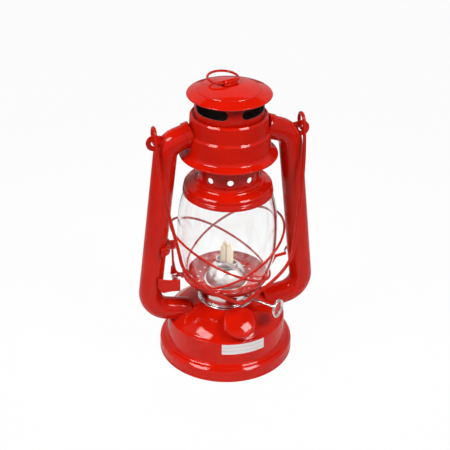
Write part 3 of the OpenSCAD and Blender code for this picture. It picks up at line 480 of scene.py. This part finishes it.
def bright_metal(name, colour, rough=0.12):
    """Nickel plate with soft patches and fine lines round its axis."""
    material, tree, shader, where = new_finish(name)
    shader.inputs["Metallic"].default_value = 1
    dull = tuple(c * 0.86 for c in colour)
    patches = spread(tree, noise(tree, where, scale=120, detail=4))
    tree.links.new(blended(tree, patches, colour, dull), shader.inputs["Base Color"])
    stretch = tree.nodes.new("ShaderNodeMapping")
    stretch.inputs["Scale"].default_value = (60, 60, 2600)
    tree.links.new(where, stretch.inputs["Vector"])
    lines = noise(tree, stretch.outputs["Vector"], scale=1, detail=2)
    tree.links.new(spread(tree, lines, rough * 0.7, rough * 1.5), shader.inputs["Roughness"])
    bumped(tree, shader, lines, strength=0.04, distance=0.0002)
    return material


def clear_glass(name):
    """Pressed clear glass, faintly wavy, that lets lamps through."""
    material, tree, shader, where = new_finish(name)
    set_inputs(shader, {"Base Color": (0.98, 0.984, 0.982, 1), "Transmission Weight": 1,
                        "Roughness": 0.0, "IOR": 1.5})
    waves = noise(tree, where, scale=45, detail=1)
    bumped(tree, shader, waves, strength=0.012, distance=0.002)
    light = tree.nodes.new("ShaderNodeLightPath")
    open_way = tree.nodes.new("ShaderNodeBsdfTransparent")
    open_way.inputs["Color"].default_value = (0.78, 0.78, 0.78, 1)
    surface_mix(tree, light.outputs["Is Shadow Ray"], shader.outputs[0], open_way.outputs[0])
    return material


def woven_cotton(name):
    """Flat wick: herringbone of cream yarn with a tan thread line down the middle."""
    material, tree, shader, where = new_finish(name)
    turn = tree.nodes.new("ShaderNodeMapping")
    turn.inputs["Rotation"].default_value = (0, 0, -SPINDLE_TURN)
    tree.links.new(where, turn.inputs["Vector"])
    axes = tree.nodes.new("ShaderNodeSeparateXYZ")
    tree.links.new(turn.outputs["Vector"], axes.inputs[0])
    away = math_node(tree, "ABSOLUTE", axes.outputs["X"])
    slant = math_node(tree, "ADD", away, axes.outputs["Z"])
    ribs = tree.nodes.new("ShaderNodeCombineXYZ")
    tree.links.new(slant, ribs.inputs["X"])
    yarn = tree.nodes.new("ShaderNodeTexWave")
    set_inputs(yarn, {"Scale": 260, "Distortion": 1.2, "Detail Scale": 3})
    tree.links.new(ribs.outputs[0], yarn.inputs["Vector"])
    cream = blended(tree, yarn.outputs["Fac"], (0.80, 0.66, 0.45), (0.96, 0.88, 0.70))
    middle = map_range(tree, away, (0.0004, 0.0008), (1, 0))
    colour = blended(tree, middle, cream, (0.58, 0.41, 0.24))
    tree.links.new(colour, shader.inputs["Base Color"])
    set_inputs(shader, {"Roughness": 0.92, "Sheen Weight": 0.3})
    bumped(tree, shader, yarn.outputs["Fac"], strength=0.8, distance=0.0004)
    return material


def loose_yarn(name):
    """Cream cotton fibre in soft clumps."""
    material, tree, shader, where = new_finish(name)
    clumps = noise(tree, where, scale=1500, detail=3)
    cream = blended(tree, clumps, (0.78, 0.64, 0.42), (0.97, 0.90, 0.74))
    tree.links.new(cream, shader.inputs["Base Color"])
    set_inputs(shader, {"Roughness": 0.95, "Sheen Weight": 0.3})
    return material


def sticker_paper(name):
    """White coated paper with two plain ruled lines."""
    material, tree, shader, where = new_finish(name)
    axes = tree.nodes.new("ShaderNodeSeparateXYZ")
    tree.links.new(where, axes.inputs[0])
    lines = [math_node(tree, "COMPARE", axes.outputs["Z"], height, RULED_HALF)
             for height in RULED_HEIGHTS]
    ruled = math_node(tree, "MAXIMUM", *lines)
    fibre = noise(tree, where, scale=1400, detail=4, rough=0.7)
    white = blended(tree, spread(tree, fibre), (0.79, 0.76, 0.75), (0.85, 0.82, 0.81))
    colour = blended(tree, ruled, white, (0.50, 0.38, 0.36))
    tree.links.new(colour, shader.inputs["Base Color"])
    shader.inputs["Roughness"].default_value = 0.55
    bumped(tree, shader, fibre, strength=0.15, distance=0.0001)
    return material


def dark_rubber(name):
    """Matte black gasket rubber with a dusty bloom."""
    material, tree, shader, where = new_finish(name)
    bloom = noise(tree, where, scale=400, detail=4)
    colour = blended(tree, bloom, (0.012, 0.012, 0.012), (0.05, 0.05, 0.05))
    tree.links.new(colour, shader.inputs["Base Color"])
    shader.inputs["Roughness"].default_value = 0.7
    return material


WIRE = wire_tree()
RED = enamel("red_enamel_gloss", (0.68, 0.0095, 0.0015), (0.60, 0.0075, 0.0012))
# The globe plate's red is darker than the rest: painted shade for the dim light inside the
# globe.
SHADED_PLATE_RED = enamel("red_enamel_plate_painted_shade", (0.46, 0.010, 0.004), (0.39, 0.009, 0.004), 0.1)
WIRE_RED = enamel("red_enamel_wire", (0.60, 0.011, 0.003), (0.50, 0.009, 0.002), 0.12)
# Dark enamel for inner faces and undersides: painted shade where little light gets in.
PAINTED_SHADE_INSIDE = enamel("painted_shade_inside", (0.15, 0.085, 0.08), (0.085, 0.062, 0.066), 0.35)
NICKEL = bright_metal("nickel_plate", (0.76, 0.75, 0.74))
SATIN = bright_metal("satin_plate", (0.72, 0.71, 0.70), 0.30)
GLASS = clear_glass("globe_glass")
COTTON = woven_cotton("wick_cotton")
YARN = loose_yarn("wick_yarn_ends")
PAPER = sticker_paper("sticker_paper")
RUBBER = dark_rubber("gasket_rubber")


# Pieces


def placed(piece, body, slot, *replaced):
    """Rides a piece on its body and hides the nodes it stands for; its slot is not used."""
    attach(piece, body)
    if replaced:
        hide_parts(*replaced)


def repainted(piece, material, chosen):
    """Gives the chosen faces of a piece a second finish."""
    piece.data.materials.append(material)
    for face in piece.data.polygons:
        if chosen(face):
            face.material_index = 1


def make_tank():
    """Tank body: flared foot with a hemmed rim, wall, seamed shoulder and dome."""
    outer = rounded(TANK_RIM, 4) + rounded(TANK_FOOT)
    outer += arc(48.2, 33.1, 1.6, 1.6, 4, 70, 8)
    outer += bowed((47.9, 34.9), DOME_TOP, DOME_BULGE)
    inner = [(20.5, 49.7), (20.5, 48.9), (23, 48.9)]
    inner += bowed((47.4, 34.1), (23.0, 48.9), DOME_BULGE)[::-1][1:]
    inner += [(48.9, 32.6), (49.6, 17.4), (49.65, 12.8)]
    inner += arc(49.7, 9.5, 6.5, 2.7, 0, 84)[::-1]
    placed(turned("tank_body", outer + inner, RED), "frame", "red_enamel", "tank_shell")


def make_crown():
    """Crown: flared flange with a rolled rim, two-step drum and a lipped top."""
    placed(turned("crown_drum", rounded(CROWN_DRUM), RED), "frame", "red_enamel", "crown")


def make_hood():
    """Bell, cap and holed pieces of the sliding hood; painted shade inside and under the cap.
    """
    placed(turned("bell_shell", rounded(BELL, 6), RED), "hood", "red_enamel", "hood_bell")
    cap = bowed((0, 244.593), (24.2, 240.9), 0.5)[:-1] + rounded(CAP_RIM, 4)
    dish = turned("cap_dish", cap, RED)
    # The cap's underside gets painted shade.
    repainted(dish, PAINTED_SHADE_INSIDE, lambda face: face.normal.z < -0.2)
    placed(dish, "hood", "red_enamel", "hood_cap")
    for node in ("chimney_tube", "vent_ring"):
        pipe = softened(node, RED, 0.12)
        # Faces that look inwards get painted shade.
        repainted(pipe, PAINTED_SHADE_INSIDE, lambda face: face.normal.dot(Vector((*face.center.xy, 0))) < 0)
        placed(pipe, "hood", "red_enamel", node)
    placed(softened("ring_strap", RED, 0.12), "hood", "red_enamel", "ring_strap")


def make_filler():
    """Filler cap: a drawn cup with a rolled skirt edge and a softly domed face."""
    face_r, face_top, sag, ceiling, skirt_r, steps = 12.05, 11.0, 1.5, 9.2, 12.4, 24
    outline = rounded(FILLER_SKIRT, 6) + arc(11.7, 7.85, 1.7, 1.7, 0, 76)
    for i in range(1, steps + 1):
        r = face_r * (1 - i / steps)
        outline.append((r, face_top - sag * (r / face_r) ** 2))
    outline += [(0, ceiling), (skirt_r, ceiling)]
    tilt = Matrix.Rotation(FILLER_TILT, 4, "X")
    place = Matrix.Translation(FILLER_PLACE * MM) @ tilt
    placed(turned("filler_lid", outline, RED, place), "filler_cap", "red_enamel", "filler_cap")


def globe_side(inset, steps=32):
    """The globe's wall from its foot to its mouth, moved in by inset."""
    low, tall = 68.6, 88
    foot, mouth = Vector((30.7 - inset, low)), Vector((32.4 - inset, 156.6))
    belly, mid = 41.4 - inset, low + tall * 0.49
    waist = Vector((belly, mid))
    lower = (foot, foot + Vector((5.5, 11)), Vector((belly, mid - 24)), waist)
    upper = (waist, Vector((belly, mid + 20)), mouth + Vector((6.6, -9)), mouth)
    points = [cubic(*lower, i / steps) for i in range(steps + 1)]
    points += [cubic(*upper, i / steps) for i in range(1, steps + 1)]
    return [tuple(p) for p in points]


def make_globe():
    """Glass globe with fire-polished lips."""
    wall = 2
    outer, inner = globe_side(0), globe_side(wall)[::-1]
    top = arc(31.4, 156.3, 1.05, 1.0, 10, 170, 8)
    foot = arc(29.7, 68.95, 1.02, 1.0, 190, 350, 8)
    outline = outer[1:-1] + top + inner[1:-1] + foot
    placed(turned("glass_globe", outline, GLASS, crease=GLASS_CREASE),
           "carriage", "clear_glass", "globe")


def make_burner():
    """Collar, body and spindle of the burner in bright plate, and the knob's red middle."""
    placed(turned("collar_ring", rounded(COLLAR, 5), NICKEL),
           "frame", "bright_metal", "burner_collar")
    for node, material in (("burner_body", NICKEL), ("burner_cone", SATIN),
                           ("spindle_bush", NICKEL)):
        placed(softened(node, material, 0.1), "frame", "bright_metal", node)
    spindle = Matrix.Rotation(SPINDLE_TURN, 4, "Z")
    spindle = spindle @ Matrix.Translation(SPINDLE_PLACE * MM)
    spindle = spindle @ Matrix.Rotation(math.radians(90), 4, "Y")
    dish = turned("knob_dish", rounded(KNOB, 6), NICKEL, spindle, 96)
    facing = spindle.to_3x3() @ Vector((0, 0, 1))
    middle_reach, middle_radius = 52.8 * MM, 6.2 * MM
    centre = spindle @ Vector((0, 0, middle_reach))
    repainted(dish, RED, lambda face: face.normal.dot(facing) > 0.9
              and (Vector(face.center) - centre).length < middle_radius)
    placed(dish, "knob", "bright_metal", "wick_knob")
    placed(softened("wick_spindle", NICKEL, 0.15), "knob", "bright_metal", "wick_spindle")


def bend_stations(p, q, r, bend, steps=24):
    """Centre points and headings round one corner of the tube's run."""
    head = math.atan2(q.y - p.y, q.x - p.x)
    turn = wrapped(math.atan2(r.y - q.y, r.x - q.x) - head)
    start = q - (q - p).normalized() * bend * math.tan(abs(turn) / 2)
    normal = head + math.copysign(math.pi / 2, turn)
    centre = start + bend * Vector((math.cos(normal), math.sin(normal)))
    stations = []
    for i in range(steps + 1):
        a = turn * i / steps
        out = Vector((math.cos(normal + a), math.sin(normal + a)))
        stations.append((centre - bend * out, head + a))
    return stations


def in_crown(p):
    """True inside the crown's outer face."""
    return p.z <= CROWN_FACE[-1][0] and math.hypot(p.x, p.y) < table_value(CROWN_FACE, p.z)


def in_tank(p):
    """True under the tank's dome."""
    return p.z < table_value(DOME_LINE, math.hypot(p.x, p.y))


def meeting(inside, p, q):
    """Where the line from p, inside a mass, to q, outside it, passes the mass's face."""
    for _ in range(24):
        middle = (p + q) / 2
        if inside(middle):
            p = middle
        else:
            q = middle
    return q


def skin_point(centre, head, radius, turn):
    """A point on the tube's skin."""
    side = radius * math.cos(turn)
    return Vector((centre.x - math.sin(head) * side, radius * math.sin(turn),
                   centre.y + math.cos(head) * side))


def tube_wall(radius, stations, turns):
    """Rings of points along a tube, ended on the crown's face and on the dome."""
    def ending(inside, far, near):
        head = near[1]
        return [meeting(inside, skin_point(far, head, radius, t), skin_point(*near, radius, t))
                for t in turns]
    rings = [[skin_point(*station, radius, t) for t in turns] for station in stations]
    top = ending(in_crown, TUBE_RUN[0], stations[0])
    foot = ending(in_tank, TUBE_RUN[-1], stations[-1])
    return [top] + rings + [foot]


def make_tubes():
    """Air tubes with a soldered bead where they meet the crown and the dome."""
    a, b, c, d = TUBE_RUN
    sides, leg_steps, bead = 72, 12, 0.45
    turns = [FULL_TURN * k / sides for k in range(sides)]
    top_bend, foot_bend = bend_stations(a, b, c, TOP_BEND), bend_stations(b, c, d, FOOT_BEND)
    leg_from, head = top_bend[-1]
    leg = [(leg_from.lerp(foot_bend[0][0], i / leg_steps), head) for i in range(1, leg_steps)]
    stations = top_bend + leg + foot_bend
    outer = tube_wall(TUBE_RADIUS, stations, turns)
    inner = tube_wall(TUBE_RADIUS - SHEET, stations, turns)
    for side, label in ((1, "right"), (-1, "left")):
        bm = bmesh.new()
        rings = [[bm.verts.new((side * p.x * MM, p.y * MM, p.z * MM)) for p in ring]
                 for ring in outer + inner[::-1]]
        bridged(bm, rings + rings[:1])
        bmesh.ops.recalc_face_normals(bm, faces=bm.faces)
        placed(finished(label + "_tube", bm, RED), "frame", "red_enamel", label + "_air_tube")
        for place, ring in (("crown", outer[0]), ("dome", outer[-1])):
            points = [Vector((side * p.x, p.y, p.z)) for p in ring]
            solder = wire(label + "_tube_solder_" + place, points, bead, RED, True, 12)
            placed(solder, "frame", "red_enamel")
    placed(softened("tube_collars", RED, 0.3), "frame", "red_enamel", "tube_collars")


def make_hoops():
    """The two tilted guard hoops, which cross at the front and the rear."""
    low, high, cross, rise, steps, radius = 36.05, 46.815, 93.8485, 0.57, 180, 1.0
    for side, depth, label in ((-1, 43.4, "left"), (1, 45.6, "right")):
        points = []
        for i in range(steps):
            t = FULL_TURN * i / steps
            x = (high - low) / 2 + (high + low) / 2 * math.cos(t)
            points.append((side * x, depth * math.sin(t), cross + rise * x))
        hoop = wire("hoop_" + label, points, radius, WIRE_RED, True)
        placed(hoop, "carriage", "red_enamel", "guard_hoop_" + label)


def make_bail():
    """Carrying bail with an eye at each end and a kink in the middle."""
    eye_turn, eye_steps, curve_steps, radius = 300, 48, 40, 1.4
    axis = Vector((0, 0, BAIL_AXIS))
    down = Vector((0, -math.sin(BAIL_TILT), -math.cos(BAIL_TILT)))
    out = Vector((0, -math.cos(BAIL_TILT), math.sin(BAIL_TILT)))
    across = Vector((EAR_REACH, 0, 0))
    half = []
    for i in range(eye_steps):
        t = math.radians(-eye_turn * (1 - i / eye_steps))
        half.append(axis + across + EYE_RADIUS * (math.cos(t) * out + math.sin(t) * down))
    top, waist, kink = Vector((EAR_REACH, 0)), Vector((47.5, 100)), Vector((0, 144))
    upper = (top, top + Vector((0, 45)), waist + Vector((2.5, -20)), waist)
    lower = (waist, waist + Vector((-2.5, 18)), kink + Vector((28, -13.5)), kink)
    line = [cubic(*upper, i / curve_steps) for i in range(curve_steps + 1)]
    line += [cubic(*lower, i / curve_steps) for i in range(1, curve_steps + 1)]
    half += [axis + out * EYE_RADIUS + Vector((p.x, 0, 0)) + down * p.y for p in line]
    other = [Vector((-p.x, p.y, p.z)) for p in half[-2::-1]]
    placed(wire("bail_wire", half + other, radius, WIRE_RED), "bail", "red_enamel", "bail")


def make_lift_ring():
    """Wire ring in the strap on the cap, lying almost flat."""
    half_axle, bend, mean, radius, tilt = 6.7, 3.0, 12.0, 1.0, math.radians(3)
    centre = bend + math.sqrt((mean - bend) ** 2 - half_axle**2)
    turn = math.degrees(math.atan2(centre - bend, half_axle))
    loop = [(-4, 0), (0, 0), (4, 0)]
    loop += arc(half_axle, bend, bend, bend, -90, -turn, 8)[:-1]
    loop += arc(0, centre, mean, mean, -turn, 180 + turn, 56)
    loop += arc(-half_axle, bend, bend, bend, turn - 180, -90, 8)[1:]
    place = Matrix.Translation((0, 0, RING_AXIS)) @ Matrix.Rotation(STRAP_TURN, 4, "Z")
    place = place @ Matrix.Rotation(tilt, 4, "X")
    points = [place @ Vector((x, y, 0)) for x, y in loop]
    ring = wire("lift_ring_wire", points, radius, WIRE_RED, True)
    placed(ring, "lift_ring", "red_enamel", "lift_ring")


def make_wick():
    """Woven wick with a frayed top."""
    half_w, half_t, low, high = 6.25, 1.2, 41.4, 104.25
    levels, slim_levels, slim_share = 64, 3, 0.22
    fray_w, fray_t, fray_sunk = 0.78, 0.6, 0.3
    outline = arc(half_w - half_t, 0, half_t, half_t, -90, 90, 8)
    outline += arc(half_t - half_w, 0, half_t, half_t, 90, 270, 8)
    bm = bmesh.new()
    rings = []
    for j in range(levels + 1):
        z = low + (high - WICK_FRAY - low) * j / levels
        slim = 1 - slim_share * max(0, j - levels + slim_levels) / slim_levels
        rings.append([bm.verts.new((x * slim * MM, y * slim * MM, z * MM)) for x, y in outline])
    bridged(bm, rings)
    bm.faces.new(rings[0][::-1])
    bm.faces.new(rings[-1])
    turn = Matrix.Rotation(SPINDLE_TURN, 4, "Z")
    placed(finished("wick_strip", bm, COTTON, turn), "wick", "cotton", "wick")
    top = bmesh.new()
    z = (high - WICK_FRAY - fray_sunk) * MM
    top.faces.new([top.verts.new((x * MM * fray_w, y * MM * fray_t, z)) for x, y in outline])
    fray = finished("wick_fray", top, COTTON)
    grown(fray, fray_tree(), {
        "Yarns per Square Metre": 3.2e6, "Yarn Length": WICK_FRAY * MM, "Yarn Radius": 0.0003,
        "Lean Along": 0.42, "Lean Across": 0.18, "Seed": 4, "Finish": YARN})
    fray.data.transform(turn)
    placed(fray, "wick", "cotton")


def make_sticker():
    """Paper sticker that follows the tank wall."""
    start, sweep, low, tall, columns, rows = -109, 43, 23.6, 9.6, 60, 6
    wall_low, wall_tall, wall_r, taper, stand_off = 13, 21.7, 50.5, 0.7, 0.09
    bm = bmesh.new()
    grid = []
    for i in range(columns + 1):
        a = math.radians(start + sweep * i / columns)
        column = []
        for j in range(rows + 1):
            z = low + tall * j / rows
            r = wall_r - taper * (z - wall_low) / wall_tall + stand_off
            column.append(bm.verts.new((r * MM * math.cos(a), r * MM * math.sin(a), z * MM)))
        grid.append(column)
    for i in range(columns):
        for j in range(rows):
            bm.faces.new((grid[i][j], grid[i + 1][j], grid[i + 1][j + 1], grid[i][j + 1]))
    bm.normal_update()
    bmesh.ops.solidify(bm, geom=bm.faces, thickness=PAPER_THICK)
    bmesh.ops.recalc_face_normals(bm, faces=bm.faces)
    placed(finished("tank_sticker", bm, PAPER), "frame", "white_paper", "paper_label")


def make_small_parts():
    """Pieces that keep their solid's shape: softened where seen, only painted where hidden."""
    for node, body, edge, material in (
            # The globe plate takes the darker red, which is painted shade.
            ("globe_plate", "carriage", 0.15, SHADED_PLATE_RED), ("left_guide", "carriage", 0.2, RED),
            ("lift_post", "carriage", 0.2, RED), ("right_guide", "carriage", 0.2, RED),
            ("lever_bracket", "frame", 0.2, RED), ("lift_lever", "lever", 0.25, RED),
            ("lever_peg", "lever", 0.2, RED), ("left_ear", "frame", 0.25, RED),
            ("right_ear", "frame", 0.25, RED)):
        placed(softened(node, material, edge), body, "red_enamel", node)
    placed(softened("lever_pin", NICKEL, 0.2), "frame", "bright_metal", "lever_pin")
    for node, material in (
            ("tank_bottom", RED), ("tank_baffle", RED), ("filler_neck", RED),
            ("filler_gasket", RUBBER), ("wick_tube", NICKEL), ("wick_sprockets", NICKEL)):
        cad_nodes[node].data.materials.clear()
        cad_nodes[node].data.materials.append(material)


# Studio


def flat_sheet(name, size, height, material):
    """A level square of the stage."""
    s = size / 2
    corners = [(-s, -s, height), (s, -s, height), (s, s, height), (-s, s, height)]
    mesh = bpy.data.meshes.new(name)
    mesh.from_pydata(corners, [], [(0, 1, 2, 3)])
    plane = linked(name, mesh)
    plane.data.materials.append(material)


def seen_ways(tree):
    """The light path's outputs, and one that is on to the camera and through glass."""
    light = tree.nodes.new("ShaderNodeLightPath").outputs
    seen = math_node(tree, "MAXIMUM", light["Is Camera Ray"], light["Is Transmission Ray"])
    return light, seen


def make_floor():
    """Floor that is white where it is seen, and fades outwards in what it lights."""
    white, tree, shader, where = new_finish("floor_white")
    away = tree.nodes.new("ShaderNodeVectorMath")
    away.operation = "LENGTH"
    tree.links.new(where, away.inputs[0])
    paper = map_range(tree, away.outputs["Value"], FLOOR_FADE, FLOOR_WHITE)
    tree.links.new(paper, shader.inputs["Base Color"])
    set_inputs(shader, {"Roughness": 0.8, "Specular IOR Level": 0})
    light, seen = seen_ways(tree)
    share = math_node(tree, "MULTIPLY", seen, FLOOR_SEEN)
    mirrored = math_node(tree, "MULTIPLY_ADD", light["Is Glossy Ray"], FLOOR_MIRRORED, share)
    glow = tree.nodes.new("ShaderNodeEmission")
    surface_mix(tree, mirrored, shader.outputs[0], glow.outputs[0])
    flat_sheet("studio_floor", FLOOR_SIZE, FLOOR_HEIGHT, white)


def make_ceiling():
    """Grey sheet overhead, which keeps the enamel's reflections deep."""
    grey = bpy.data.materials.new("ceiling_grey")
    grey.use_nodes = True
    set_inputs(grey.node_tree.nodes["Principled BSDF"],
               {"Base Color": (CEILING_GREY, CEILING_GREY, CEILING_GREY, 1), "Roughness": 0.9})
    flat_sheet("studio_ceiling", CEILING_SIZE, CEILING_HEIGHT, grey)


def make_surround():
    """Surround that is white where it is seen, paler in reflections and weak as light."""
    world = bpy.data.worlds.new("studio_surround")
    bpy.context.scene.world = world
    world.use_nodes = True
    tree = world.node_tree
    light, seen = seen_ways(tree)
    level = map_range(tree, seen, (0, 1), (SURROUND_LIGHT, SURROUND_SEEN))
    mirrored = math_node(tree, "MULTIPLY_ADD", light["Is Glossy Ray"], SURROUND_MIRRORED, level)
    back = tree.nodes["Background"]
    back.inputs["Color"].default_value = (1, 1, 1, 1)
    tree.links.new(mirrored, back.inputs["Strength"])


def make_lamps():
    """Two soft boxes at the front and a weak fill at the rear."""
    e = math.radians(LAMP_ELEVATION)
    for name, azimuth, power, wide, in_reflections in LAMPS:
        a = math.radians(azimuth)
        way = Vector((math.sin(a) * math.cos(e), -math.cos(a) * math.cos(e), math.sin(e)))
        lamp = bpy.data.lights.new(name, "AREA")
        lamp.shape = "RECTANGLE"
        lamp.size, lamp.size_y = wide, LAMP_TALL
        lamp.energy = power
        box = linked(name, lamp)
        box.visible_glossy = in_reflections
        box.location = LAMP_AIM + way * LAMP_DISTANCE
        box.rotation_euler = (-way).to_track_quat("-Z", "Y").to_euler()


def make_camera():
    """Camera at the photograph's place."""
    data = bpy.data.cameras.new("camera")
    data.lens = CAMERA_LENS
    data.sensor_width = 36
    data.clip_start, data.clip_end = 0.01, 50
    camera = linked("camera", data)
    back = CAMERA_RIGHT.cross(CAMERA_UP)
    turn = Matrix((CAMERA_RIGHT, CAMERA_UP, back)).transposed().to_4x4()
    camera.matrix_world = Matrix.Translation(CAMERA_PLACE) @ turn
    bpy.context.scene.camera = camera


make_camera()
make_tank()
make_filler()
make_crown()
make_hood()
make_globe()
make_burner()
make_tubes()
make_hoops()
make_bail()
make_lift_ring()
make_wick()
make_sticker()
make_small_parts()
make_floor()
make_ceiling()
make_surround()
make_lamps()
bpy.context.scene.view_settings.view_transform = "Standard"
